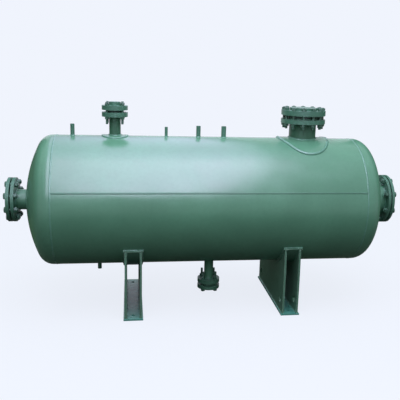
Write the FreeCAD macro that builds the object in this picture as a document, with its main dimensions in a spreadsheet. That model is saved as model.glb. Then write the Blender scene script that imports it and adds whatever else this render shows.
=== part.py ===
import FreeCAD, Part
import Sketcher
import math
import os

# Horizontal refrigerant liquid receiver: a welded vessel on two saddles, with five flanged nozzles.
# Origin on the floor, at the centre of the four anchor bolts. X runs along the vessel, Z is up.

Vector = FreeCAD.Vector
doc = FreeCAD.newDocument("LiquidReceiver")
sheet = doc.addObject("Spreadsheet::Sheet", "Sizes")
sub_parts = []

# Driving sizes of the vessel and its saddles
VESSEL = {
    "VesselMiddle": -15,
    "AxisHeight": 860,
    "ShellOutside": 1020,
    "Wall": 10,
    "ShellLength": 2380,
    "CrownRadius": 1010,
    "KnuckleRadius": 110,
    "HeadFlange": 25,
    "WeldRoot": 2,
    "WeldTop": 12,
    "WeldCap": 2,
    "SeamRise": 17,
    "WeldGap": 0.5,
    "SaddleSpacing": 1240,
    "SaddleWidth": 150,
    "BaseLength": 880,
    "BaseThick": 12,
    "WebThick": 15,
    "WebInset": 10,
    "WebLength": 860,
    "WebShoulder": 345,
    "WebWrap": 52.6,
    "WearThick": 18,
    "WearWrap": 53.5,
    "AnchorSpacing": 730,
    "AnchorHole": 28,
    "AccessHole": 50,
    "AccessSpacing": 700,
    "AccessHeight": 100,
}

# Driving sizes of the flanged nozzles: the left and the right one on the heads, the small and the large one
# on top, and the one below
NOZZLES = ("Left", "Right", "Small", "Large", "Bottom")
NOZZLE_SIZES = {
    "Place": (None, None, -742, 775, 28),
    "StandOff": (81, 80, 150, 126, 172),
    "Neck": (159, 273, 89, 219, 76),
    "NeckWall": (7, 8, 6, 8, 5),
    "Flange": (345, 405, 200, 360, 185),
    "FlangeThick": (23, 20, 34, 34, 34),
    "Raised": (218, 314, 132, 274, 118),
    "RaisedStep": (4, 4, 6, 12, 8),
    "Gasket": (4, 4, 6, 7, 6),
    "CoverThick": (24, 20, 34, 40, 28),
    "BoltCircle": (280, 350, 165, 310, 145),
    "BoltCount": (8, 8, 4, 12, 4),
    "Bolt": (27, 27, 20, 24, 20),
    "BoltHole": (30, 30, 22, 26, 22),
    "NutFlats": (41, 41, 30, 36, 30),
    "NutHeight": (22, 22, 18, 21, 18),
    "InnerEnd": (29, 29, 55, 42, 66),
    "OuterEnd": (17, 17, 28, 25, 21),
}

# Reinforcing pads round the top nozzles: width along the vessel and thickness
PADS = {
    "Small": (200, 8),
    "Large": (400, 10),
}

# The large pad is an oval: its size across the vessel, and its end radius as a share of its half width
OVAL = (584, 0.8)

# Bosses on the covers of the top nozzles: diameter and height
BOSSES = {
    "Small": (90, 28),
    "Large": (225, 20),
}

# Slip-on fit of every neck in its flange: gap on the radius, and how far the neck stops short of the face
SLIP_ON = (0.5, 5)

# Threaded couplings: place along the vessel, outside diameter, height above the shell, socket and bore
COUPLING_SIZES = ("Place", "Outside", "Rise", "Socket", "SocketDepth", "Bore")
COUPLINGS = {
    "CouplingOne": (-1066, 32, 88, 24.1, 22, 20),
    "CouplingTwo": (-342, 24, 75, 15, 16, 12),
    "CouplingThree": (-85, 35, 87, 24.1, 22, 20),
    "CouplingFour": (120, 39, 87, 30.3, 26, 26),
    "CouplingDrain": (-874, 32, 71, 24.1, 22, 20),
}

# How deep the end necks reach inside the heads
NECK_INSIDE = 12


def write_cell(alias, text):
    """Adds one named cell under the last one."""
    write_cell.row += 1
    sheet.set(f"A{write_cell.row}", alias)
    sheet.set(f"B{write_cell.row}", text)
    sheet.setAlias(f"B{write_cell.row}", alias)


write_cell.row = 0


def write_sizes():
    """Driving sizes as plain numbers, then the places that follow from them as formulas."""
    for alias, value in VESSEL.items():
        write_cell(alias, str(value))
    for size, values in NOZZLE_SIZES.items():
        for name, value in zip(NOZZLES, values):
            if value is not None:
                write_cell(name + size, str(value))
    for name, values in PADS.items():
        write_cell(name + "PadWidth", str(values[0]))
        write_cell(name + "PadThick", str(values[1]))
    write_cell("OvalLength", str(OVAL[0]))
    write_cell("OvalEndShare", str(OVAL[1]))
    for name, values in BOSSES.items():
        write_cell(name + "BossOutside", str(values[0]))
        write_cell(name + "BossHeight", str(values[1]))
    for name, values in COUPLINGS.items():
        for size, value in zip(COUPLING_SIZES, values):
            write_cell(name + size, str(value))
    write_cell("SlipGap", str(SLIP_ON[0]))
    write_cell("NeckSetback", str(SLIP_ON[1]))
    write_cell("NeckInside", str(NECK_INSIDE))

    write_cell("ShellRadius", "=ShellOutside / 2")
    write_cell("ShellBore", "=ShellRadius - Wall")
    write_cell("WeldRootHalf", "=WeldRoot / 2")
    write_cell("WeldTopHalf", "=WeldTop / 2")
    write_cell("ShellRootEnd", "=ShellLength / 2 - WeldRootHalf")
    write_cell("ShellTopEnd", "=ShellLength / 2 - WeldTopHalf")
    write_cell("KnuckleCentre", "=ShellRadius - KnuckleRadius")
    write_cell("CrownToKnuckle", "=CrownRadius - KnuckleRadius")
    write_cell("CrownBack", "=sqrt(CrownToKnuckle ^ 2 - KnuckleCentre ^ 2)")
    write_cell("CrownCentre", "=HeadFlange - CrownBack")
    write_cell("HeadDepth", "=CrownCentre + CrownRadius")
    write_cell("CrownInside", "=CrownRadius - Wall")
    write_cell("KnuckleInside", "=KnuckleRadius - Wall")
    write_cell("TangentPlace", "=CrownCentre + CrownRadius * CrownBack / CrownToKnuckle")
    write_cell("TangentRadius", "=CrownRadius * KnuckleCentre / CrownToKnuckle")
    write_cell("TangentPlaceInside", "=CrownCentre + CrownInside * CrownBack / CrownToKnuckle")
    write_cell("TangentRadiusInside", "=CrownInside * KnuckleCentre / CrownToKnuckle")
    write_cell("WearRadius", "=ShellRadius + WearThick")
    write_cell("WebBottom", "=BaseThick")
    write_cell("WebHalf", "=WebLength / 2")
    write_cell("WebCornerAcross", "=WearRadius * sin(WebWrap * 1 deg)")
    write_cell("WebCornerUp", "=AxisHeight - WearRadius * cos(WebWrap * 1 deg)")
    write_cell("WearInnerAcross", "=ShellRadius * sin(WearWrap * 1 deg)")
    write_cell("WearInnerUp", "=-ShellRadius * cos(WearWrap * 1 deg)")
    write_cell("WearOuterAcross", "=WearRadius * sin(WearWrap * 1 deg)")
    write_cell("WearOuterUp", "=-WearRadius * cos(WearWrap * 1 deg)")
    write_cell("SaddleHalf", "=SaddleWidth / 2")
    write_cell("BaseHalf", "=BaseLength / 2")
    write_cell("WebReach", "=SaddleHalf - WebInset")
    write_cell("AnchorHalf", "=AnchorSpacing / 2")
    write_cell("AnchorRadius", "=AnchorHole / 2")
    write_cell("AccessHalf", "=AccessSpacing / 2")
    write_cell("AccessRadius", "=AccessHole / 2")
    write_cell("SeamUp", "=sqrt(ShellRadius ^ 2 - WeldTopHalf ^ 2)")
    write_cell("CapRadius", "=(WeldTopHalf ^ 2 + WeldCap ^ 2) / (2 * WeldCap)")

    for name in NOZZLES:
        foot = "ShellLength / 2 + HeadDepth" if at_end(name) else "ShellRadius"
        write_cell(name + "NeckRadius", f"={name}Neck / 2")
        write_cell(name + "NeckBore", f"={name}NeckRadius - {name}NeckWall")
        write_cell(name + "Opening", f"={name}NeckRadius + WeldGap")
        write_cell(name + "Slip", f"={name}NeckRadius + SlipGap")
        write_cell(name + "FlangeRadius", f"={name}Flange / 2")
        write_cell(name + "RaisedRadius", f"={name}Raised / 2")
        write_cell(name + "Back", f"={foot} + {name}StandOff")
        write_cell(name + "Front", f"={name}Back + {name}FlangeThick")
        write_cell(name + "Face", f"={name}Front + {name}RaisedStep")
        write_cell(name + "CoverFace", f"={name}Face + {name}Gasket")
        write_cell(name + "CoverBack", f"={name}CoverFace + {name}RaisedStep")
        write_cell(name + "CoverOuter", f"={name}CoverBack + {name}CoverThick")
        write_cell(name + "BoltAcross", f"={name}BoltCircle / 2 * cos(180 deg / {name}BoltCount)")
        write_cell(name + "BoltUp", f"={name}BoltCircle / 2 * sin(180 deg / {name}BoltCount)")
        write_cell(name + "BoltRadius", f"={name}Bolt / 2")
        write_cell(name + "HoleRadius", f"={name}BoltHole / 2")
        write_cell(name + "CrownEdge", f"=CrownCentre + sqrt(CrownRadius ^ 2 - {name}Opening ^ 2)")
        write_cell(name + "CrownEdgeInside", f"=CrownCentre + sqrt(CrownInside ^ 2 - {name}Opening ^ 2)")
    for name in PADS:
        write_cell(name + "PadRadius", f"={name}PadWidth / 2")
        write_cell(name + "PadOuter", f"=ShellRadius + {name}PadThick")
    write_cell("OvalEnd", "=OvalEndShare * LargePadRadius")
    write_cell("OvalEndUp", "=OvalLength / 2 - OvalEnd")
    write_cell("OvalNarrow", "=LargePadRadius - OvalEnd")
    write_cell("OvalSideAcross", "=(OvalEndUp ^ 2 - OvalNarrow ^ 2) / (2 * OvalNarrow)")
    write_cell("OvalSide", "=LargePadRadius + OvalSideAcross")
    write_cell("OvalTangentAcross", "=OvalEnd * OvalSideAcross / (OvalSide - OvalEnd)")
    write_cell("OvalTangentUp", "=OvalEndUp + OvalEnd * OvalEndUp / (OvalSide - OvalEnd)")
    for name in BOSSES:
        write_cell(name + "BossRadius", f"={name}BossOutside / 2")
        write_cell(name + "BossTop", f"={name}CoverOuter + {name}BossHeight")
    for name in COUPLINGS:
        write_cell(name + "Radius", f"={name}Outside / 2")
        write_cell(name + "Opening", f"={name}Radius + WeldGap")
        write_cell(name + "SocketRadius", f"={name}Socket / 2")
        write_cell(name + "BoreRadius", f"={name}Bore / 2")
        write_cell(name + "Top", f"=ShellRadius + {name}Rise")
        write_cell(name + "SocketFloor", f"={name}Top - {name}SocketDepth")
    doc.recompute()


def at_end(name):
    """The left and right nozzles sit on the heads; the others sit on the shell."""
    return name in ("Left", "Right")


def value_of(term):
    """Number of a term: the name of a cell, with a minus sign in front where it is negative, or 0."""
    if term == "0":
        return 0.0
    number = float(sheet.get(term.lstrip("-")))
    return -number if term.startswith("-") else number


def formula_of(term):
    """Expression of the same term."""
    return "-Sizes." + term[1:] if term.startswith("-") else "Sizes." + term


def new_body(label):
    """An empty body, listed as a sub-part under its label."""
    body = doc.addObject("PartDesign::Body", label)
    body.Label = label
    body.AllowCompound = True
    sub_parts.append(body)
    return body


def new_sketch(body, role, name, height=None):
    """A sketch on one of the body's own origin planes, lifted off it where a height is given."""
    sketch = body.newObject("Sketcher::SketchObject", f"{body.Label}_{name}")
    plane = next(feature for feature in body.Origin.OriginFeatures if feature.Role == role)
    sketch.AttachmentSupport = (plane, [""])
    sketch.MapMode = "FlatFace"
    if height:
        sketch.setExpression("AttachmentOffset.Base.z", height)
    return sketch


def pin_point(sketch, geometry, point, across, up):
    """Holds one point of the sketch at two named distances from its origin."""
    for kind, axis, term in (("DistanceX", -2, across), ("DistanceY", -1, up)):
        if term == "0":
            sketch.addConstraint(Sketcher.Constraint("PointOnObject", geometry, point, axis))
        else:
            index = sketch.addConstraint(Sketcher.Constraint(kind, geometry, point, value_of(term)))
            sketch.setExpression(f"Constraints[{index}]", formula_of(term))


def draw_outline(sketch, corners, arcs=None):
    """Closed outline through named corners. arcs gives, by side number, a radius and the turn of that arc.

    A turn of 1 runs counter-clockwise from its first corner to its second, and a turn of -1 clockwise.
    """
    arcs = arcs or {}
    points = [Vector(value_of(across), value_of(up), 0) for across, up in corners]
    first = sketch.GeometryCount
    ends = []
    for side, start in enumerate(points):
        end = points[(side + 1) % len(points)]
        if side not in arcs:
            sketch.addGeometry(Part.LineSegment(start, end))
            ends.append((1, 2))
            continue
        radius_term, turn = arcs[side]
        low, high = (start, end) if turn > 0 else (end, start)
        radius = value_of(radius_term)
        chord = high - low
        rise = math.sqrt(max(radius ** 2 - (chord.Length / 2) ** 2, 0))
        centre = (low + high) * 0.5 + Vector(-chord.y, chord.x, 0) * (rise / chord.Length)
        circle = Part.Circle(centre, Vector(0, 0, 1), radius)
        sketch.addGeometry(Part.ArcOfCircle(circle, circle.parameter(low), circle.parameter(high)))
        index = sketch.addConstraint(Sketcher.Constraint("Radius", first + side, radius))
        sketch.setExpression(f"Constraints[{index}]", formula_of(radius_term))
        ends.append((1, 2) if turn > 0 else (2, 1))
    for side, (across, up) in enumerate(corners):
        before = side - 1 if side else len(corners) - 1
        sketch.addConstraint(
            Sketcher.Constraint("Coincident", first + before, ends[before][1], first + side, ends[side][0])
        )
        pin_point(sketch, first + side, ends[side][0], across, up)


def draw_circle(sketch, across, up, radius):
    """Circle with its centre at two named distances and its radius from a named cell."""
    centre = Vector(value_of(across), value_of(up), 0)
    geometry = sketch.addGeometry(Part.Circle(centre, Vector(0, 0, 1), value_of(radius)))
    pin_point(sketch, geometry, 3, across, up)
    index = sketch.addConstraint(Sketcher.Constraint("Radius", geometry, value_of(radius)))
    sketch.setExpression(f"Constraints[{index}]", formula_of(radius))


def draw_hexagon(sketch, across, up, flats):
    """Regular hexagon of a named width across flats, inside a construction circle."""
    centre = Vector(value_of(across), value_of(up), 0)
    corner_radius = value_of(flats) / math.sqrt(3)
    circle = sketch.addGeometry(Part.Circle(centre, Vector(0, 0, 1), corner_radius), True)
    pin_point(sketch, circle, 3, across, up)
    index = sketch.addConstraint(Sketcher.Constraint("Radius", circle, corner_radius))
    sketch.setExpression(f"Constraints[{index}]", formula_of(flats) + " / sqrt(3)")
    corners = [
        centre + Vector(math.cos(math.radians(angle)), math.sin(math.radians(angle)), 0) * corner_radius
        for angle in range(-30, 330, 60)
    ]
    ends = corners[1:] + corners[:1]
    sides = [sketch.addGeometry(Part.LineSegment(start, end)) for start, end in zip(corners, ends)]
    for number, side in enumerate(sides):
        sketch.addConstraint(Sketcher.Constraint("Coincident", side, 2, sides[(number + 1) % 6], 1))
        sketch.addConstraint(Sketcher.Constraint("PointOnObject", side, 1, circle))
        if number:
            sketch.addConstraint(Sketcher.Constraint("Equal", sides[0], side))
    sketch.addConstraint(Sketcher.Constraint("Vertical", sides[0]))


def pad(body, sketch, length, name, symmetric=False):
    """Solid of a sketch, raised by a formula."""
    feature = body.newObject("PartDesign::Pad", f"{body.Label}_{name}")
    feature.Profile = sketch
    feature.SideType = "Symmetric" if symmetric else "One side"
    feature.setExpression("Length", length)
    return feature


def cut_through(body, sketch, name, side="Symmetric"):
    """Opening of a sketch through the whole solid: both ways, or only above or below the sketch."""
    doc.recompute()
    volume = body.Shape.Volume
    feature = body.newObject("PartDesign::Pocket", f"{body.Label}_{name}")
    feature.Profile = sketch
    feature.Type = "ThroughAll"
    feature.SideType = "Symmetric" if side == "Symmetric" else "One side"
    feature.Reversed = side == "Above"
    doc.recompute()
    if not body.Shape.Volume < volume:
        raise RuntimeError(f"{feature.Name} cuts nothing")
    return feature


def revolve(body, sketch, axis, name):
    """Full turn of a sketch about its own horizontal or vertical axis."""
    feature = body.newObject("PartDesign::Revolution", f"{body.Label}_{name}")
    feature.Profile = sketch
    feature.ReferenceAxis = (sketch, [axis])
    feature.Angle = 360
    return feature


def repeat_round(body, features, sketch, count, name):
    """Repeats features round the normal of their sketch."""
    pattern = body.newObject("PartDesign::PolarPattern", f"{body.Label}_{name}")
    pattern.Originals = features
    pattern.Axis = (sketch, ["N_Axis"])
    pattern.Angle = 360
    pattern.setExpression("Occurrences", count)
    body.Tip = pattern


def place(body, along, up="0", axis=Vector(0, 0, 1), angle=0, across="0"):
    """Turns a sub-part about an axis and sets its three distances by formulas."""
    body.Placement = FreeCAD.Placement(Vector(0, 0, 0), FreeCAD.Rotation(axis, angle))
    for letter, formula in (("x", along), ("y", across), ("z", up)):
        body.setExpression(f"Placement.Base.{letter}", formula)


def place_on_vessel(body, name):
    """Stands a nozzle's sub-part on the vessel, with its own Z axis pointing out of the vessel."""
    up = "Sizes.AxisHeight"
    if name == "Left":
        place(body, "Sizes.VesselMiddle", up, Vector(0, 1, 0), -90)
    elif name == "Right":
        place(body, "Sizes.VesselMiddle", up, Vector(0, 1, 0), 90)
    elif name in ("Bottom", "CouplingDrain"):
        place(body, f"Sizes.VesselMiddle + Sizes.{name}Place", up, Vector(1, 0, 0), 180)
    else:
        place(body, f"Sizes.VesselMiddle + Sizes.{name}Place", up)


def make_shell():
    """Rolled shell with bevelled ends, and an opening for each nozzle and coupling."""
    body = new_body("shell")
    profile = new_sketch(body, "XZ_Plane", "profile")
    draw_outline(profile, [
        ("-ShellRootEnd", "ShellBore"), ("ShellRootEnd", "ShellBore"),
        ("ShellTopEnd", "ShellRadius"), ("-ShellTopEnd", "ShellRadius"),
    ])
    revolve(body, profile, "H_Axis", "wall")
    below = ("Bottom", "CouplingDrain")
    on_top = [name for name in [*NOZZLES, *COUPLINGS] if not at_end(name) and name not in below]
    for side, names in (("Above", on_top), ("Below", below)):
        openings = new_sketch(body, "XY_Plane", "openings_" + side.lower())
        for name in names:
            draw_circle(openings, name + "Place", "0", name + "Opening")
        cut_through(body, openings, "cut_" + side.lower(), side)
    place(body, "Sizes.VesselMiddle", "Sizes.AxisHeight")


def make_head(label, name, angle):
    """Dished head: straight flange, knuckle and crown, with the end nozzle's opening in the middle."""
    body = new_body(label)
    profile = new_sketch(body, "XZ_Plane", "profile")
    draw_outline(profile, [
        ("WeldRootHalf", "ShellBore"),
        ("WeldTopHalf", "ShellRadius"),
        ("HeadFlange", "ShellRadius"),
        ("TangentPlace", "TangentRadius"),
        (name + "CrownEdge", name + "Opening"),
        (name + "CrownEdgeInside", name + "Opening"),
        ("TangentPlaceInside", "TangentRadiusInside"),
        ("HeadFlange", "ShellBore"),
    ], {
        2: ("KnuckleRadius", -1),
        3: ("CrownRadius", -1),
        5: ("CrownInside", 1),
        6: ("KnuckleInside", 1),
    })
    revolve(body, profile, "H_Axis", "dish")
    seam = f"Sizes.VesselMiddle {'-' if angle else '+'} Sizes.ShellLength / 2"
    place(body, seam, "Sizes.AxisHeight", Vector(0, 0, 1), angle)


def make_girth_weld(label, side):
    """Weld bead between shell and head: a V through the wall with a rounded cap."""
    body = new_body(label)
    profile = new_sketch(body, "XZ_Plane", "profile")
    draw_outline(profile, [
        ("-WeldRootHalf", "ShellBore"), ("WeldRootHalf", "ShellBore"),
        ("WeldTopHalf", "ShellRadius"), ("-WeldTopHalf", "ShellRadius"),
    ], {2: ("CapRadius", 1)})
    revolve(body, profile, "H_Axis", "bead")
    place(body, f"Sizes.VesselMiddle {side} Sizes.ShellLength / 2", "Sizes.AxisHeight")


def make_long_weld():
    """Cap of the shell's own lengthwise seam, on the front a little above the middle."""
    body = new_body("lengthwise_weld")
    profile = new_sketch(body, "YZ_Plane", "profile")
    draw_outline(profile, [
        ("-WeldTopHalf", "SeamUp"), ("WeldTopHalf", "SeamUp"),
    ], {0: ("ShellRadius", -1), 1: ("CapRadius", 1)})
    pad(body, profile, "2 * Sizes.ShellTopEnd", "bead", symmetric=True)
    place(body, "Sizes.VesselMiddle", "Sizes.AxisHeight", Vector(1, 0, 0), 0)
    body.setExpression("Placement.Rotation.Angle", "90 - Sizes.SeamRise")


def make_neck(name):
    """Pipe from the vessel's inside to the flange. On the shell its foot follows the bore of the vessel."""
    body = new_body(name.lower() + "_neck")
    start = f"Sizes.ShellLength / 2 + Sizes.{name}CrownEdgeInside - Sizes.NeckInside" if at_end(name) else "0"
    ring = new_sketch(body, "XY_Plane", "ring", start if at_end(name) else None)
    draw_circle(ring, "0", "0", name + "NeckRadius")
    draw_circle(ring, "0", "0", name + "NeckBore")
    pad(body, ring, f"Sizes.{name}Face - Sizes.NeckSetback - ({start})", "pipe")
    if not at_end(name):
        vessel = new_sketch(body, "YZ_Plane", "vessel_bore")
        draw_circle(vessel, "0", "0", "ShellBore")
        cut_through(body, vessel, "foot")
    place_on_vessel(body, name)


def drill_bolt_circle(body, name):
    """Bolt holes that straddle the centre lines."""
    hole = new_sketch(body, "XY_Plane", "hole")
    draw_circle(hole, name + "BoltAcross", name + "BoltUp", name + "HoleRadius")
    drilled = cut_through(body, hole, "drill")
    repeat_round(body, [drilled], hole, f"Sizes.{name}BoltCount", "bolt_circle")


def make_flange(name):
    """Slip-on flange with a raised face and drilled bolt holes."""
    body = new_body(name.lower() + "_flange")
    profile = new_sketch(body, "XZ_Plane", "profile")
    draw_outline(profile, [
        (name + "Slip", name + "Back"), (name + "FlangeRadius", name + "Back"),
        (name + "FlangeRadius", name + "Front"), (name + "RaisedRadius", name + "Front"),
        (name + "RaisedRadius", name + "Face"), (name + "Slip", name + "Face"),
    ])
    revolve(body, profile, "V_Axis", "disc")
    drill_bolt_circle(body, name)
    place_on_vessel(body, name)


def make_gasket(name):
    """Flat ring between the two raised faces."""
    body = new_body(name.lower() + "_gasket")
    ring = new_sketch(body, "XY_Plane", "ring", f"Sizes.{name}Face")
    draw_circle(ring, "0", "0", name + "RaisedRadius")
    draw_circle(ring, "0", "0", name + "Slip")
    pad(body, ring, f"Sizes.{name}Gasket", "sheet")
    place_on_vessel(body, name)


def make_cover(name):
    """Blind flange with a raised face below. The covers of the top nozzles have a boss in the middle."""
    body = new_body(name.lower() + "_cover")
    profile = new_sketch(body, "XZ_Plane", "profile")
    outline = [
        ("0", name + "CoverFace"), (name + "RaisedRadius", name + "CoverFace"),
        (name + "RaisedRadius", name + "CoverBack"), (name + "FlangeRadius", name + "CoverBack"),
        (name + "FlangeRadius", name + "CoverOuter"),
    ]
    if name in BOSSES:
        outline += [
            (name + "BossRadius", name + "CoverOuter"), (name + "BossRadius", name + "BossTop"),
            ("0", name + "BossTop"),
        ]
    else:
        outline += [("0", name + "CoverOuter")]
    draw_outline(profile, outline)
    revolve(body, profile, "V_Axis", "disc")
    drill_bolt_circle(body, name)
    place_on_vessel(body, name)


def make_fasteners(name):
    """Bolts with hexagon heads on the end nozzles, studs elsewhere, and their nuts."""
    headed = at_end(name)
    bolts = new_body(name.lower() + ("_bolts" if headed else "_studs"))
    shank = new_sketch(bolts, "XY_Plane", "shank", f"Sizes.{name}Back - Sizes.{name}InnerEnd")
    draw_circle(shank, name + "BoltAcross", name + "BoltUp", name + "BoltRadius")
    outer_end = f"Sizes.{name}CoverOuter" + ("" if headed else f" + Sizes.{name}OuterEnd")
    length = f"{outer_end} - Sizes.{name}Back + Sizes.{name}InnerEnd"
    features = [pad(bolts, shank, length, "rod")]
    if headed:
        head = new_sketch(bolts, "XY_Plane", "head", f"Sizes.{name}CoverOuter")
        draw_hexagon(head, name + "BoltAcross", name + "BoltUp", name + "NutFlats")
        features.append(pad(bolts, head, f"Sizes.{name}OuterEnd", "hexagon"))
    repeat_round(bolts, features, shank, f"Sizes.{name}BoltCount", "bolt_circle")
    place_on_vessel(bolts, name)

    nuts = new_body(name.lower() + "_nuts")
    seats = [("inner", f"Sizes.{name}Back - Sizes.{name}NutHeight")]
    if not headed:
        seats.append(("outer", f"Sizes.{name}CoverOuter"))
    features = []
    for seat, height in seats:
        outline = new_sketch(nuts, "XY_Plane", seat, height)
        draw_hexagon(outline, name + "BoltAcross", name + "BoltUp", name + "NutFlats")
        draw_circle(outline, name + "BoltAcross", name + "BoltUp", name + "BoltRadius")
        features.append(pad(nuts, outline, f"Sizes.{name}NutHeight", seat + "_nut"))
    repeat_round(nuts, features, outline, f"Sizes.{name}BoltCount", "bolt_circle")
    place_on_vessel(nuts, name)


def make_pad(name):
    """Reinforcing pad rolled to the shell round a nozzle's neck: a round one, or the large nozzle's oval."""
    body = new_body(name.lower() + "_pad")
    outline = new_sketch(body, "XY_Plane", "outline")
    if name == "Large":
        draw_outline(outline, [
            ("-OvalTangentAcross", "-OvalTangentUp"), ("OvalTangentAcross", "-OvalTangentUp"),
            ("OvalTangentAcross", "OvalTangentUp"), ("-OvalTangentAcross", "OvalTangentUp"),
        ], {0: ("OvalEnd", 1), 1: ("OvalSide", 1), 2: ("OvalEnd", 1), 3: ("OvalSide", 1)})
    else:
        draw_circle(outline, "0", "0", name + "PadRadius")
    draw_circle(outline, "0", "0", name + "Opening")
    pad(body, outline, f"Sizes.ShellRadius + 2 * Sizes.{name}PadThick", "blank")
    inside = new_sketch(body, "YZ_Plane", "inside")
    draw_circle(inside, "0", "0", "ShellRadius")
    cut_through(body, inside, "inner_roll")
    outside = new_sketch(body, "YZ_Plane", "outside")
    draw_circle(outside, "0", "0", name + "PadOuter")
    draw_circle(outside, "0", "0", "ShellOutside")
    cut_through(body, outside, "outer_roll")
    place_on_vessel(body, name)


def make_coupling(label, name):
    """Threaded coupling on a short stub: a socket at the top and a narrower bore into the vessel."""
    body = new_body(label)
    profile = new_sketch(body, "XZ_Plane", "profile")
    draw_outline(profile, [
        (name + "BoreRadius", "0"), (name + "Radius", "0"), (name + "Radius", name + "Top"),
        (name + "SocketRadius", name + "Top"), (name + "SocketRadius", name + "SocketFloor"),
        (name + "BoreRadius", name + "SocketFloor"),
    ])
    revolve(body, profile, "V_Axis", "stub")
    vessel = new_sketch(body, "YZ_Plane", "vessel_bore")
    draw_circle(vessel, "0", "0", "ShellBore")
    cut_through(body, vessel, "foot")
    place_on_vessel(body, name)


def make_saddle(side, sign):
    """Saddle: base plate, two webs with access holes, and the wear plate under the shell."""
    along = f"{sign} Sizes.SaddleSpacing / 2"

    base = new_body(side + "_base_plate")
    outline = new_sketch(base, "XY_Plane", "outline")
    draw_outline(outline, [
        ("-SaddleHalf", "-BaseHalf"), ("SaddleHalf", "-BaseHalf"),
        ("SaddleHalf", "BaseHalf"), ("-SaddleHalf", "BaseHalf"),
    ])
    pad(base, outline, "Sizes.BaseThick", "plate")
    holes = new_sketch(base, "XY_Plane", "anchor_holes")
    draw_circle(holes, "0", "AnchorHalf", "AnchorRadius")
    draw_circle(holes, "0", "-AnchorHalf", "AnchorRadius")
    cut_through(base, holes, "drill")
    place(base, along)

    for number, shift in (("one", "- Sizes.WebReach"), ("two", "+ Sizes.WebReach - Sizes.WebThick")):
        web = new_body(f"{side}_web_{number}")
        outline = new_sketch(web, "YZ_Plane", "outline")
        draw_outline(outline, [
            ("-WebHalf", "WebBottom"), ("WebHalf", "WebBottom"),
            ("WebHalf", "WebShoulder"), ("WebCornerAcross", "WebCornerUp"),
            ("-WebCornerAcross", "WebCornerUp"), ("-WebHalf", "WebShoulder"),
        ], {3: ("WearRadius", -1)})
        pad(web, outline, "Sizes.WebThick", "plate")
        holes = new_sketch(web, "YZ_Plane", "access_holes")
        draw_circle(holes, "AccessHalf", "AccessHeight", "AccessRadius")
        draw_circle(holes, "-AccessHalf", "AccessHeight", "AccessRadius")
        cut_through(web, holes, "drill")
        place(web, f"{along} {shift}")

    wear = new_body(side + "_wear_plate")
    section = new_sketch(wear, "YZ_Plane", "section")
    draw_outline(section, [
        ("-WearOuterAcross", "WearOuterUp"), ("WearOuterAcross", "WearOuterUp"),
        ("WearInnerAcross", "WearInnerUp"), ("-WearInnerAcross", "WearInnerUp"),
    ], {0: ("WearRadius", 1), 2: ("ShellRadius", -1)})
    pad(wear, section, "Sizes.SaddleWidth", "plate", symmetric=True)
    place(wear, along, "Sizes.AxisHeight")


def check_document():
    """Stops if any object failed or any sub-part is not a sound solid."""
    for item in doc.Objects:
        if "Invalid" in item.State or "Error" in item.State:
            raise RuntimeError(f"{item.Label} is {item.State}")
    for body in sub_parts:
        if body.Shape.isNull() or not body.Shape.isValid() or not body.Shape.Solids:
            raise RuntimeError(f"{body.Label} has no sound solid")


write_sizes()
make_shell()
make_head("left_head", "Left", 180)
make_head("right_head", "Right", 0)
make_girth_weld("left_weld", "-")
make_girth_weld("right_weld", "+")
make_long_weld()
for nozzle in NOZZLES:
    make_neck(nozzle)
    make_flange(nozzle)
    make_gasket(nozzle)
    make_cover(nozzle)
    make_fasteners(nozzle)
for nozzle in PADS:
    make_pad(nozzle)
make_coupling("top_coupling_one", "CouplingOne")
make_coupling("top_coupling_two", "CouplingTwo")
make_coupling("top_coupling_three", "CouplingThree")
make_coupling("top_coupling_four", "CouplingFour")
make_coupling("bottom_coupling", "CouplingDrain")
make_saddle("left", "-")
make_saddle("right", "")
doc.recompute()
check_document()
os.makedirs("parts", exist_ok=True)
for body in sub_parts:
    body.Shape.exportStep(f"parts/{body.Label}.step")
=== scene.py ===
import math
import random
from collections import namedtuple

import bpy
from mathutils import Matrix, Vector


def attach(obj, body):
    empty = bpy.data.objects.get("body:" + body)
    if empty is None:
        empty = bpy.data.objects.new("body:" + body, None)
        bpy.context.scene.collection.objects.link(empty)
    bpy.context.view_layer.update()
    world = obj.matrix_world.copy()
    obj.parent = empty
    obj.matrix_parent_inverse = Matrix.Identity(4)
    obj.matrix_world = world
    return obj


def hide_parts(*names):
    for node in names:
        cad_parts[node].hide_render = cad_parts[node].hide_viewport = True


# Looks of the liquid receiver: glossy green paint, weld beads, threads and nuts. Metres, X along the vessel.

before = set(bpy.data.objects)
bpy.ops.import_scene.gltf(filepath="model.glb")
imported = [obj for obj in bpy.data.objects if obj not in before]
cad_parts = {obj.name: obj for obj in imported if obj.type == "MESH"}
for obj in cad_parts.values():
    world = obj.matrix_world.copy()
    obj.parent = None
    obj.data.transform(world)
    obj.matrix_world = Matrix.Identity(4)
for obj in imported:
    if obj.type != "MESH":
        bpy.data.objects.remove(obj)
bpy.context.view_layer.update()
random.seed(7)
scene = bpy.context.scene

# Sizes of the vessel, as in the part's source
MIDDLE = Vector((-0.015, 0.0, 0.86))
SHELL = 0.510
SEAM_END = 1.190
SEAM_RISE = math.radians(17)

# Sizes of the saddles and the reach of their welds: a base plate, two webs and a wear plate each
SADDLE_PLACE = 0.620
BASE_THICK = 0.012
WEB_PLACE = 0.0575
WEB_HALF = 0.0075
WEB_REACH = 0.426
WEB_WRAP = math.radians(52.3)
WEAR = 0.528
WEAR_HALF = 0.075
WEAR_WRAP = math.radians(53.5)

# Couplings and the bottom neck: place along the vessel, radius, side (1 on top, -1 below), size of the bead
STUBS = (
    (-1.066, 0.016, 1, 0.004),
    (-0.342, 0.012, 1, 0.004),
    (-0.085, 0.0175, 1, 0.004),
    (0.120, 0.0195, 1, 0.004),
    (-0.874, 0.016, -1, 0.004),
    (0.028, 0.038, -1, 0.006),
)

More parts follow.
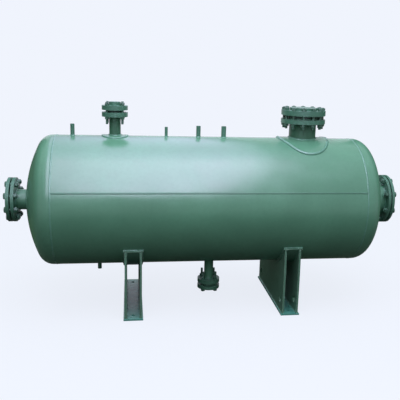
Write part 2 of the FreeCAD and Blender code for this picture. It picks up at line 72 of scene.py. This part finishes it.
# Pads: place along the vessel, neck radius, thickness, then radius and width of the bead round the edge
SMALL_PAD_RADIUS = 0.100
PADS = {
    "small": (-0.742, 0.0445, 0.008, 0.0045, 1.3),
    "large": (0.775, 0.1095, 0.010, 0.0084, 1.4),
}

# Nozzles: axis points outwards, place is along the vessel, back and cover are the distances of the flange's
# back and the cover's outer face from the vessel's middle, neck, circle and bolt are radii, flats and nut are
# a nut's width and height, inner and outer are the bolts' ends past the flange's back and past the cover
Nozzle = namedtuple("Nozzle", "axis place neck back circle count bolt flats nut cover inner outer")
NOZZLES = {
    "left": Nozzle((-1, 0, 0), 0.0, 0.0795, 1.49977, 0.140, 8, 0.0135, 0.041, 0.022, 1.55877, 0.029, 0.017),
    "right": Nozzle((1, 0, 0), 0.0, 0.1365, 1.49877, 0.175, 8, 0.0135, 0.041, 0.022, 1.55077, 0.029, 0.017),
    "small": Nozzle((0, 0, 1), -0.742, 0.0445, 0.660, 0.0825, 4, 0.010, 0.030, 0.018, 0.746, 0.055, 0.028),
    "large": Nozzle((0, 0, 1), 0.775, 0.1095, 0.636, 0.155, 12, 0.012, 0.036, 0.021, 0.741, 0.042, 0.025),
    "bottom": Nozzle((0, 0, -1), 0.028, 0.038, 0.682, 0.0725, 4, 0.010, 0.030, 0.018, 0.766, 0.066, 0.021),
}

# Where the end nozzles' necks meet the heads, from the middle of the vessel
FEET = {"left": 1.41560, "right": 1.40943}

# Camera, from the fit to the photograph: turns in degrees, lens in pixels of the 400 pixel frame
CAMERA_PLACE = (-0.6421, -4.6701, 1.9100)
CAMERA_TURN = (9.4396, -12.6322, 1.8973)
FOCAL_PIXELS = 585.35
FRAME_PIXELS = 400


def make_camera():
    yaw, pitch, roll = (math.radians(angle) for angle in CAMERA_TURN)
    ahead = Vector((math.sin(yaw) * math.cos(pitch), math.cos(yaw) * math.cos(pitch), math.sin(pitch)))
    right = Vector((math.cos(yaw), -math.sin(yaw), 0))
    up = right.cross(ahead)
    turned_right = right * math.cos(roll) + up * math.sin(roll)
    turned_up = up * math.cos(roll) - right * math.sin(roll)
    data = bpy.data.cameras.new("camera")
    data.sensor_width = 36
    data.lens = FOCAL_PIXELS / FRAME_PIXELS * data.sensor_width
    data.shift_x = -0.0625
    data.clip_end = 200
    camera = bpy.data.objects.new("camera", data)
    scene.collection.objects.link(camera)
    turn = Matrix((turned_right, turned_up, -ahead)).transposed()
    camera.matrix_world = Matrix.Translation(CAMERA_PLACE) @ turn.to_4x4()
    scene.camera = camera


# Node helpers
def node(tree, kind, inputs=None, **settings):
    made = tree.nodes.new(kind)
    for key, value in settings.items():
        setattr(made, key, value)
    for key, value in (inputs or {}).items():
        if isinstance(value, bpy.types.NodeSocket):
            tree.links.new(value, made.inputs[key])
        else:
            made.inputs[key].default_value = value
    return made


def maths(tree, operation, a, b=0.0, clamp=False):
    return node(tree, "ShaderNodeMath", {0: a, 1: b}, operation=operation, use_clamp=clamp).outputs[0]


def span(tree, value, low, high, to_low, to_high, **settings):
    inputs = {0: value, 1: low, 2: high, 3: to_low, 4: to_high}
    return node(tree, "ShaderNodeMapRange", inputs, **settings).outputs[0]


def noise(tree, place, scale, detail=2.0, roughness=0.5):
    inputs = {"Vector": place, "Scale": scale, "Detail": detail, "Roughness": roughness}
    return node(tree, "ShaderNodeTexNoise", inputs).outputs[0]


def blend(tree, factor, a, b):
    made = node(tree, "ShaderNodeMix", {0: factor, 6: a, 7: b}, data_type="RGBA")
    return made.outputs[2]


def paint(name, colour, rough=0.22, peel=1.0, wear_and_highlight=0.0, ior=1.42, pale=(0.30, 0.42, 0.36)):
    """Sprayed green enamel: cloudy colour, uneven gloss, orange peel, and paler edges where asked, partly
    worn paint and partly a painted highlight.
    """
    material = bpy.data.materials.new(name)
    material.use_nodes = True
    tree = material.node_tree
    shader = tree.nodes["Principled BSDF"]
    place = node(tree, "ShaderNodeTexCoord").outputs["Object"]
    clouds = noise(tree, place, 2.3, 3)
    mottle = noise(tree, place, 38, 4, 0.6)
    specks = noise(tree, place, 420, 2, 0.7)
    dark = (*[c * 0.90 for c in colour], 1)
    light = (*[c * 1.08 for c in colour], 1)
    tone = blend(tree, span(tree, clouds, 0.3, 0.7, 0, 1), dark, light)
    tone = blend(tree, span(tree, mottle, 0.42, 0.75, 0, 0.22), tone, (*[c * 0.72 for c in colour], 1))
    tone = blend(tree, span(tree, specks, 0.66, 0.74, 0, 0.35), tone, (*[c * 0.55 for c in colour], 1))
    # Paler edges from a bevel mask: partly worn paint, partly a painted highlight along every edge.
    if wear_and_highlight:
        edge = node(tree, "ShaderNodeBevel", {"Radius": 0.0035}, samples=6).outputs[0]
        flat = node(tree, "ShaderNodeNewGeometry").outputs["Normal"]
        bend = node(tree, "ShaderNodeVectorMath", {0: edge, 1: flat}, operation="DOT_PRODUCT")
        edge_wear_and_highlight = span(tree, bend.outputs["Value"], 0.985, 0.80, 0, 1)
        edge_wear_and_highlight = maths(tree, "MULTIPLY", edge_wear_and_highlight, span(tree, noise(tree, place, 60, 4), 0.35, 0.65, 0.25, 1))
        tone = blend(tree, maths(tree, "MULTIPLY", edge_wear_and_highlight, wear_and_highlight), tone, (*pale, 1))
    tree.links.new(tone, shader.inputs["Base Color"])
    gloss = span(tree, noise(tree, place, 9, 3), 0.3, 0.7, rough - 0.03, rough + 0.05)
    tree.links.new(gloss, shader.inputs["Roughness"])
    shader.inputs["IOR"].default_value = ior
    swell = noise(tree, place, 5, 2)
    waves = node(tree, "ShaderNodeBump", {"Height": swell, "Strength": 0.10, "Distance": 0.02})
    pimples = {
        "Height": noise(tree, place, 260, 2),
        "Strength": 0.06 * peel,
        "Distance": 0.002,
        "Normal": waves.outputs[0],
    }
    skin = node(tree, "ShaderNodeBump", pimples)
    tree.links.new(skin.outputs[0], shader.inputs["Normal"])
    return material


def gasket_material():
    material = bpy.data.materials.new("gasket_sheet")
    material.use_nodes = True
    tree = material.node_tree
    shader = tree.nodes["Principled BSDF"]
    place = node(tree, "ShaderNodeTexCoord").outputs["Object"]
    grain = noise(tree, place, 180, 4, 0.7)
    tone = blend(tree, grain, (0.012, 0.013, 0.013, 1), (0.035, 0.036, 0.034, 1))
    tree.links.new(tone, shader.inputs["Base Color"])
    shader.inputs["Roughness"].default_value = 0.85
    bump = node(tree, "ShaderNodeBump", {"Height": grain, "Strength": 0.3, "Distance": 0.0005})
    tree.links.new(bump.outputs[0], shader.inputs["Normal"])
    return material


SKIN = paint("vessel_paint", (0.122, 0.300, 0.200))
# Weld beads are a little lighter than the vessel's paint: painted highlight on the beads.
WELD = paint("weld_paint", (0.135, 0.315, 0.235), rough=0.26, peel=2.0)
# The lengthwise seam's bead is darker than the vessel's paint: painted shade along the seam.
SEAM_PAINTED_SHADE = paint("seam_painted_shade", (0.082, 0.208, 0.140), rough=0.42, peel=2.0, ior=1.28)
# The necks are darker than the vessel's paint: painted shade under their flanges.
NECK_PAINTED_SHADE = paint("neck_painted_shade", (0.066, 0.160, 0.104), rough=0.34, peel=1.4, ior=1.30)
# Flanges, covers and top couplings are darker than the vessel's paint: painted shade.
FLANGE = paint("flange_paint", (0.082, 0.200, 0.142), rough=0.34, peel=1.6, wear_and_highlight=0.45, ior=1.33)
# Bolts, studs and nuts are darker still: painted shade between the flanges.
BOLTING = paint("bolting_paint", (0.058, 0.145, 0.102), rough=0.28, peel=1.6, wear_and_highlight=0.4)
# The saddles are darker than the vessel's paint: painted shade under the vessel; their much paler edges are
# partly worn paint, partly a painted highlight.
SADDLE = paint(
    "saddle_paint", (0.096, 0.212, 0.148), rough=0.36, peel=1.4, wear_and_highlight=0.95, ior=1.33, pale=(0.52, 0.64, 0.56)
)
# The base plates are bluer than the saddles: painted reflection of the pale sky on their tops.
BASE_PAINTED_REFLECTION = paint("base_plate_painted_reflection", (0.085, 0.300, 0.250), rough=0.28, peel=1.4, wear_and_highlight=0.5, ior=1.45)
GASKET = gasket_material()
SLOTS = {
    "vessel_paint": SKIN,
    "weld_paint": WELD,
    "flange_paint": FLANGE,
    "bolting_paint": BOLTING,
    "saddle_paint": SADDLE,
    "gasket_sheet": GASKET,
}
# Necks take the paint with painted shade, base plates the one with painted reflection.
SPECIAL = {"small_neck": NECK_PAINTED_SHADE, "large_neck": NECK_PAINTED_SHADE, "left_base_plate": BASE_PAINTED_REFLECTION, "right_base_plate": BASE_PAINTED_REFLECTION}


def dress_nodes():
    """Gives every CAD node the paint of its kind."""
    for name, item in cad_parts.items():
        if name.endswith("_gasket"):
            slot = "gasket_sheet"
        elif name.endswith("_weld"):
            slot = "weld_paint"
        elif name.endswith(("_flange", "_cover")) or name.startswith("top_coupling"):
            slot = "flange_paint"
        elif name.endswith(("_nuts", "_bolts", "_studs")):
            slot = "bolting_paint"
        elif "_web_" in name or name.endswith(("_base_plate", "_wear_plate")):
            slot = "saddle_paint"
        else:
            slot = "vessel_paint"
        item.data.materials.clear()
        item.data.materials.append(SPECIAL.get(name, SLOTS[slot]))


def add_piece(name, vertices, faces, slot, replaced=None, material=None):
    """A smooth mesh piece that rides with the vessel."""
    mesh = bpy.data.meshes.new(name)
    mesh.from_pydata([tuple(v) for v in vertices], [], faces)
    mesh.validate()
    mesh.shade_smooth()
    mesh.materials.append(material or SLOTS[slot])
    item = bpy.data.objects.new(name, mesh)
    scene.collection.objects.link(item)
    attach(item, "root")
    if replaced:
        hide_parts(replaced)
    return item


# Weld beads
def bead(path, radius, closed, out, vertices, faces, step=0.0035, ripple=0.10, wide=1.0):
    """A rippled run of weld: path(t) gives its points for t from 0 to 1, and out(t) the way it bulges."""
    samples = 200
    nudge = 1e-4
    rough = [path(t / samples) for t in range(samples + 1)]
    length = sum((b - a).length for a, b in zip(rough, rough[1:]))
    count = max(12, int(length / step))
    sides = 7 if wide == 1.0 else 12
    first = len(vertices)
    rows = count if closed else count + 1
    wander = random.random() * 9
    for row in range(rows):
        t = row / count
        point = path(t)
        along = (path(min(t + nudge, 1.0)) - path(max(t - nudge, 0.0))).normalized()
        bulge = out(t)
        bulge = (bulge - along * bulge.dot(along)).normalized()
        side = along.cross(bulge)
        puddle = 1 + ripple * math.sin(row * 2 * math.pi / 3) + 0.06 * math.sin(row * 0.21 + wander)
        for corner in range(sides):
            angle = 2 * math.pi * corner / sides
            spoke = bulge * math.cos(angle) + side * math.sin(angle) * wide
            vertices.append(point + spoke * radius * puddle)
    for row in range(count):
        near = first + row * sides
        far = first + ((row + 1) % rows) * sides
        for corner in range(sides):
            after = (corner + 1) % sides
            faces.append((near + corner, near + after, far + after, far + corner))
    if not closed:
        faces.append([first + corner for corner in range(sides)])
        faces.append([first + (rows - 1) * sides + corner for corner in range(sides)])


def around_stub(place, radius, shell, sign):
    """Where a vertical pipe meets a horizontal cylinder of the vessel."""
    def path(t):
        angle = 2 * math.pi * t
        across = radius * math.sin(angle)
        up = math.sqrt(shell ** 2 - across ** 2)
        return MIDDLE + Vector((place + radius * math.cos(angle), across, sign * up))
    def out(t):
        angle = 2 * math.pi * t
        return Vector((math.cos(angle), math.sin(angle), sign))
    return path, out


def around_oval(place, shell):
    """The edge of the large nozzle's pad: an oval of four arcs, seen from above, on the vessel's round.

    Each arc has a radius and the distance of its centre from the pad's centre."""
    end, end_up, side, side_across = 0.160, 0.132, 0.3978, 0.1978
    turn = math.atan2(end_up, side_across)
    def spot(angle):
        cosine, sine = math.cos(angle), math.sin(angle)
        if abs(sine) > math.sin(turn):
            return end * cosine, end * sine + math.copysign(end_up, sine)
        return side * cosine - math.copysign(side_across, cosine), side * sine
    def path(t):
        along, across = spot(2 * math.pi * t)
        return MIDDLE + Vector((place + along, across, math.sqrt(shell ** 2 - across ** 2)))
    def out(t):
        angle = 2 * math.pi * t
        return Vector((math.cos(angle), math.sin(angle), 1))
    return path, out


def around_pipe(name, distance, radius, lean):
    """A circle round a nozzle's axis at a distance from the vessel's middle."""
    axis = Vector(NOZZLES[name].axis)
    centre = MIDDLE + Vector((NOZZLES[name].place, 0, 0)) + axis * distance
    first = Vector((0, 1, 0))
    second = axis.cross(first)
    def path(t):
        angle = 2 * math.pi * t
        return centre + (first * math.cos(angle) + second * math.sin(angle)) * radius
    def out(t):
        angle = 2 * math.pi * t
        return first * math.cos(angle) + second * math.sin(angle) + axis * lean
    return path, out


def around_vessel(along, radius, low, high):
    """An arc round the vessel's axis, between two angles from straight down."""
    def path(t):
        angle = low + (high - low) * t
        return MIDDLE + Vector((along, radius * math.sin(angle), -radius * math.cos(angle)))
    def out(t):
        angle = low + (high - low) * t
        return Vector((0, math.sin(angle), -math.cos(angle)))
    return path, out


def straight(start, end, bulge):
    """A straight line between two points, with one way to bulge."""
    start, end, bulge = Vector(start), Vector(end), Vector(bulge)
    return (lambda t: start.lerp(end, t)), (lambda t: bulge)


def make_nozzle_welds():
    """Beads at the feet of stubs and necks, round the pads and behind the flanges."""
    vertices, faces = [], []
    for place, radius, sign, size in STUBS:
        path, out = around_stub(place, radius + size * 0.3, SHELL, sign)
        bead(path, size, True, out, vertices, faces, step=0.0025)
    for name, (place, neck, thick, size, wide) in PADS.items():
        path, out = around_stub(place, neck + 0.002, SHELL + thick, 1)
        bead(path, 0.0065, True, out, vertices, faces)
        edge = SHELL + thick * 0.35
        round_edge = around_stub(place, SMALL_PAD_RADIUS, edge, 1)
        path, out = around_oval(place, edge) if name == "large" else round_edge
        bead(path, size, True, out, vertices, faces, step=0.004, ripple=0.06, wide=wide)
    for name, foot in FEET.items():
        path, out = around_pipe(name, foot + 0.002, NOZZLES[name].neck + 0.002, 1)
        bead(path, 0.0075, True, out, vertices, faces)
    for name, nozzle in NOZZLES.items():
        path, out = around_pipe(name, nozzle.back - 0.0015, nozzle.neck + 0.0015, -1)
        bead(path, 0.0045, True, out, vertices, faces, step=0.003)
    add_piece("nozzle_weld_beads", vertices, faces, "weld_paint")


def make_vessel_welds():
    """The rippled caps of the two girth welds and the lengthwise weld, in place of the plain ones."""
    sunk = SHELL - 0.0006
    outward = Vector((0, -math.cos(SEAM_RISE), math.sin(SEAM_RISE)))
    start = MIDDLE + outward * sunk
    reach = Vector((SEAM_END - 0.006, 0, 0))
    runs = {
        "left_weld": (around_vessel(-SEAM_END, sunk, 0, 2 * math.pi), True, WELD),
        "right_weld": (around_vessel(SEAM_END, sunk, 0, 2 * math.pi), True, WELD),
        "lengthwise_weld": (straight(start - reach, start + reach, outward), False, SEAM_PAINTED_SHADE),
    }
    for replaced, ((path, out), closed, material) in runs.items():
        vertices, faces = [], []
        bead(path, 0.0022, closed, out, vertices, faces, step=0.004, ripple=0.07, wide=3.0)
        add_piece("rippled_" + replaced, vertices, faces, "weld_paint", replaced, material)


def make_saddle_welds():
    """Beads between base plates, webs, wear plates and shell."""
    vertices, faces = [], []
    foot = BASE_THICK + 0.0005
    for side in (-1, 1):
        centre = side * SADDLE_PLACE
        for web in (-1, 1):
            for face in (-1, 1):
                x = centre + web * WEB_PLACE + face * (WEB_HALF + 0.0005)
                path, out = straight((x, -WEB_REACH, foot), (x, WEB_REACH, foot), (face, 0, 1))
                bead(path, 0.0042, False, out, vertices, faces)
                path, out = around_vessel(x - MIDDLE.x, WEAR + 0.0008, -WEB_WRAP, WEB_WRAP)
                bead(path, 0.0042, False, out, vertices, faces)
        for edge in (-1, 1):
            x = centre + edge * (WEAR_HALF + 0.0002)
            path, out = around_vessel(x - MIDDLE.x, SHELL + 0.0015, -WEAR_WRAP, WEAR_WRAP)
            bead(path, 0.004, False, out, vertices, faces)
            across = math.sin(WEAR_WRAP * edge) * (SHELL + 0.003)
            up = -math.cos(WEAR_WRAP) * (SHELL + 0.003)
            tip = MIDDLE + Vector((0, across + edge * 0.0012, up + 0.0015))
            path, out = straight(
                (centre - WEAR_HALF, tip.y, tip.z), (centre + WEAR_HALF, tip.y, tip.z), (0, edge, 0.3)
            )
            bead(path, 0.0045, False, out, vertices, faces)
    add_piece("saddle_weld_beads", vertices, faces, "weld_paint")


# Bolting: edges sharper than this angle stay sharp, and a bolt head is a nut whose bore shrinks to a point
SHARP_ANGLE = math.radians(35)
HEAD_CENTRE = 0.0005


def nozzle_frame(name):
    """Matrix from a nozzle's own axes, Z outwards from the vessel's middle, to the vessel."""
    if name == "left":
        turn = Matrix.Rotation(math.radians(-90), 4, "Y")
    elif name == "right":
        turn = Matrix.Rotation(math.radians(90), 4, "Y")
    elif name == "bottom":
        turn = Matrix.Rotation(math.radians(180), 4, "X")
    else:
        turn = Matrix.Identity(4)
    return Matrix.Translation(MIDDLE + Vector((NOZZLES[name].place, 0, 0))) @ turn


def add_rod(place, radius, low, high, threads, vertices, faces):
    """A rod with helical threads between pairs of heights, plain elsewhere, with chamfered ends."""
    sides = 14
    pitch = 0.0025 if radius < 0.011 else 0.003
    depth = pitch * 0.5
    plain = 0.0001
    chamfer = 0.0018
    first = len(vertices)
    rows = int((high - low) / pitch * 2) + 5
    for row in range(rows):
        for side in range(sides):
            turn = side / sides
            up = low - pitch + pitch * (row / 2 + turn)
            inside = min(max(up, low), high)
            cut = any(a <= inside <= b for a, b in threads)
            width = radius - (depth if cut and row % 2 else plain)
            width = min(width, radius - chamfer + (inside - low), radius - chamfer + (high - inside))
            angle = 2 * math.pi * turn
            vertices.append(place @ Vector((width * math.cos(angle), width * math.sin(angle), inside)))
    for row in range(rows - 1):
        for side in range(sides):
            here = first + row * sides + side
            after = first + (row + 2) * sides if side == sides - 1 else here + 1
            if after + sides < first + rows * sides:
                faces.append((here, after, after + sides, here + sides))
    faces.append([first + side for side in reversed(range(sides))])
    faces.append([first + (rows - 1) * sides + side for side in range(sides)])


def add_hexagon(place, flats, height, bore, turn, vertices, faces):
    """A nut, or a bolt head if the bore is next to nothing, with a turned chamfer that leaves arcs."""
    sides = 48
    half = flats / 2
    ring = half * 0.96
    slope = math.tan(math.radians(30))
    first = len(vertices)
    lower = [("bore", False), ("ring", False), ("edge", False)]
    upper = [("edge", True), ("ring", True), ("bore", True)]
    for kind, up_face in lower + upper:
        for side in range(sides):
            angle = 2 * math.pi * side / sides
            local = (angle + math.pi / 6) % (math.pi / 3) - math.pi / 6
            corner = half / math.cos(local)
            width = {"bore": bore, "ring": ring, "edge": corner}[kind]
            drop = max(0.0, corner - ring) * slope if kind == "edge" else 0.0
            up = height - drop if up_face else drop
            spoke = (width * math.cos(angle + turn), width * math.sin(angle + turn), up)
            vertices.append(place @ Vector(spoke))
    for row in range(5):
        for side in range(sides):
            after = (side + 1) % sides
            near = first + row * sides
            far = near + sides
            faces.append((near + side, near + after, far + after, far + side))


def make_bolting():
    """Threaded studs or headed bolts and their nuts, in place of the plain ones."""
    for name, nozzle in NOZZLES.items():
        frame_of = nozzle_frame(name)
        headed = name in ("left", "right")
        low = nozzle.back - nozzle.inner
        high = nozzle.cover if headed else nozzle.cover + nozzle.outer
        threads = [(low, nozzle.back)] if headed else [(low, nozzle.back), (nozzle.cover, high)]
        rods, rod_faces, nuts, nut_faces = [], [], [], []
        for number in range(nozzle.count):
            angle = math.pi / nozzle.count + 2 * math.pi * number / nozzle.count
            place = (nozzle.circle * math.cos(angle), nozzle.circle * math.sin(angle), 0)
            spot = frame_of @ Matrix.Translation(place)
            add_rod(spot, nozzle.bolt, low, high, threads, rods, rod_faces)
            turns = [random.uniform(0, math.pi / 3) for _ in range(2)]
            inner_seat = spot @ Matrix.Translation((0, 0, nozzle.back - nozzle.nut))
            add_hexagon(inner_seat, nozzle.flats, nozzle.nut, nozzle.bolt, turns[0], nuts, nut_faces)
            outer_seat = spot @ Matrix.Translation((0, 0, nozzle.cover))
            if headed:
                add_hexagon(outer_seat, nozzle.flats, nozzle.outer, HEAD_CENTRE, turns[1], rods, rod_faces)
            else:
                add_hexagon(outer_seat, nozzle.flats, nozzle.nut, nozzle.bolt, turns[1], nuts, nut_faces)
        kind = "bolts" if headed else "studs"
        for label, points, sides, replaced in (
            (f"{name}_threaded_{kind}", rods, rod_faces, f"{name}_{kind}"),
            (f"{name}_chamfered_nuts", nuts, nut_faces, f"{name}_nuts"),
        ):
            item = add_piece(label, points, sides, "bolting_paint", replaced)
            item.data.set_sharp_from_angle(angle=SHARP_ANGLE)


# Floor, backdrop and light
BACKDROP = (0.871, 0.905, 0.982, 1)


def make_floor():
    size = 60.0
    mesh = bpy.data.meshes.new("floor")
    corners = [(-size, -size, 0), (size, -size, 0), (size, size, 0), (-size, size, 0)]
    mesh.from_pydata(corners, [], [(0, 1, 2, 3)])
    floor = bpy.data.objects.new("floor", mesh)
    floor.location.z = -0.0005
    scene.collection.objects.link(floor)
    material = bpy.data.materials.new("floor")
    material.use_nodes = True
    tree = material.node_tree
    tree.nodes.clear()
    rays = node(tree, "ShaderNodeLightPath").outputs
    seen = maths(tree, "ADD", rays["Is Camera Ray"], rays["Is Glossy Ray"], True)
    seen = maths(tree, "ADD", seen, rays["Is Transmission Ray"], True)
    place = node(tree, "ShaderNodeTexCoord").outputs["Object"]
    distance = node(tree, "ShaderNodeVectorMath", {0: place}, operation="LENGTH").outputs["Value"]
    near = span(tree, rays["Is Glossy Ray"], 0.0, 1.0, 0.89, 0.0)
    fade = span(tree, distance, 2.0, 6.5, near, 1.0, interpolation_type="SMOOTHSTEP")
    grain = noise(tree, place, 14, 3)
    lit = blend(tree, grain, (0.86, 0.885, 0.94, 1), (0.88, 0.905, 0.96, 1))
    lit = blend(tree, rays["Is Glossy Ray"], lit, (0.10, 0.13, 0.10, 1))
    ground = node(tree, "ShaderNodeBsdfDiffuse", {"Color": lit})
    glow = node(tree, "ShaderNodeEmission", {"Color": BACKDROP})
    pale = node(tree, "ShaderNodeMixShader", {0: fade, 1: ground.outputs[0], 2: glow.outputs[0]})
    dull = node(tree, "ShaderNodeBsdfDiffuse", {"Color": (0.035, 0.04, 0.04, 1)})
    both = node(tree, "ShaderNodeMixShader", {0: seen, 1: dull.outputs[0], 2: pale.outputs[0]})
    node(tree, "ShaderNodeOutputMaterial", {"Surface": both.outputs[0]})
    mesh.materials.append(material)


def make_world():
    world = bpy.data.worlds.new("studio")
    scene.world = world
    world.use_nodes = True
    tree = world.node_tree
    tree.nodes.clear()
    rays = node(tree, "ShaderNodeLightPath").outputs
    seen = maths(tree, "ADD", rays["Is Camera Ray"], rays["Is Glossy Ray"], True)
    seen = maths(tree, "ADD", seen, rays["Is Transmission Ray"], True)
    direction = node(tree, "ShaderNodeTexCoord").outputs["Generated"]
    way = node(tree, "ShaderNodeSeparateXYZ", {0: direction}).outputs[2]
    dome = blend(tree, span(tree, way, 0.0, 1.0, 0.0, 1.0), (0.115, 0.135, 0.11, 1), (0.86, 0.91, 0.90, 1))
    colour = blend(tree, seen, dome, BACKDROP)
    sky = node(tree, "ShaderNodeBackground", {"Color": colour, "Strength": 1.0})
    node(tree, "ShaderNodeOutputWorld", {"Surface": sky.outputs[0]})


def aim(item, target):
    item.rotation_mode = "QUATERNION"
    item.rotation_quaternion = (Vector(target) - item.location).to_track_quat("-Z", "Y")


def soft_box(name, location, target, width, height, radiance, colour):
    """A soft lamp that gloss doesn't show: the cards stand for it there."""
    data = bpy.data.lights.new(name, "AREA")
    data.shape = "RECTANGLE"
    data.size, data.size_y = width, height
    data.energy = radiance * math.pi * width * height
    data.color = colour
    item = bpy.data.objects.new(name, data)
    item.location = location
    aim(item, target)
    scene.collection.objects.link(item)
    item.visible_camera = False
    item.visible_glossy = False


# Along every card the light leans to the right: places of the two ends, and the brightness at each
CARD_LEAN = (0.1, 0.65, 0.66, 1.0)


def sky_card(name, corners, strength, colour, soft_low, soft_high, near, far, fall=None):
    """A panel that only gloss shows, with soft ends.

    Its corners run along the lower edge, then back along the upper one. Its brightness goes from near at
    the lower edge to far at the upper one. A fall, if given, is two heights and a factor at each of them."""
    mesh = bpy.data.meshes.new(name)
    mesh.from_pydata(corners, [], [(0, 1, 2, 3)])
    layer = mesh.uv_layers.new(name="UVMap")
    for loop, uv in zip(layer.data, ((0, 0), (1, 0), (1, 1), (0, 1))):
        loop.uv = uv
    item = bpy.data.objects.new(name, mesh)
    scene.collection.objects.link(item)
    material = bpy.data.materials.new(name)
    material.use_nodes = True
    tree = material.node_tree
    tree.nodes.clear()
    flat = node(tree, "ShaderNodeTexCoord").outputs["UV"]
    across, upward = node(tree, "ShaderNodeSeparateXYZ", {0: flat}).outputs[:2]
    left = span(tree, across, 0.0, soft_low, 0, 1, interpolation_type="SMOOTHSTEP")
    right = span(tree, across, 1.0 - soft_high, 1.0, 1, 0, interpolation_type="SMOOTHSTEP")
    rise = maths(tree, "MULTIPLY", span(tree, upward, 0.0, 1.0, near, far), strength)
    if fall:
        rise = maths(tree, "MULTIPLY", rise, span(tree, upward, *fall, interpolation_type="SMOOTHSTEP"))
    lean = maths(tree, "MULTIPLY", rise, span(tree, across, *CARD_LEAN))
    power = maths(tree, "MULTIPLY", maths(tree, "MULTIPLY", left, right), lean)
    glow = node(tree, "ShaderNodeEmission", {"Color": (*colour, 1), "Strength": power})
    node(tree, "ShaderNodeOutputMaterial", {"Surface": glow.outputs[0]})
    mesh.materials.append(material)
    item.visible_camera = False
    item.visible_diffuse = False
    item.visible_transmission = False
    item.visible_volume_scatter = False
    item.visible_shadow = False


def make_light():
    """Three soft lamps, the bright cards of the studio's ceiling, and dark cards beside the vessel's ends."""
    soft_box("key", (-0.2, -3.6, 5.0), (0, -0.2, 0.9), 6.8, 6.4, radiance=1.05, colour=(0.93, 1.0, 1.18))
    soft_box("top", (0.3, -1.7, 6.2), (0, -0.1, 1.0), 7.0, 4.0, radiance=1.50, colour=(0.95, 1.0, 1.27))
    soft_box("back", (0.8, 4.5, 4.5), (0, 0, 0.9), 6.0, 4.0, radiance=0.35, colour=(0.95, 1.0, 1.06))
    sky_card(
        "front_sky", [(-2.35, -6.0, 2.80), (1.10, -6.0, 2.80), (1.98, -0.5, 6.2), (-2.35, -0.5, 6.2)],
        strength=18.8, colour=(0.79, 0.67, 0.96), soft_low=0.11, soft_high=0.19,
        near=0.94, far=0.88, fall=(0.84, 1.0, 1.0, 0.84),
    )
    sky_card(
        "top_sky", [(-2.35, -0.5, 6.2), (1.98, -0.5, 6.2), (1.1, 6.5, 3.6), (-2.35, 6.5, 3.6)],
        strength=13.0, colour=(0.74, 0.65, 0.98), soft_low=0.11, soft_high=0.19,
        near=0.96, far=0.16, fall=(0.0, 0.30, 1.0, 0.66),
    )
    sky_card(
        "left_flag", [(-5.2, -1.6, 0.0), (-1.72, 1.1, 0.0), (-1.72, 1.1, 2.6), (-5.2, -1.6, 2.6)],
        strength=0.12, colour=(0.5, 0.9, 0.5), soft_low=0.05, soft_high=0.05, near=1.0, far=1.0,
    )
    sky_card(
        "right_flag", [(1.68, 1.2, 0.0), (5.2, -0.8, 0.0), (5.2, -0.8, 2.6), (1.68, 1.2, 2.6)],
        strength=0.20, colour=(0.5, 0.9, 0.6), soft_low=0.05, soft_high=0.05, near=1.0, far=1.0,
    )


make_camera()
make_world()
dress_nodes()
make_nozzle_welds()
make_vessel_welds()
make_saddle_welds()
make_bolting()
make_floor()
make_light()
scene.view_settings.view_transform = "Standard"
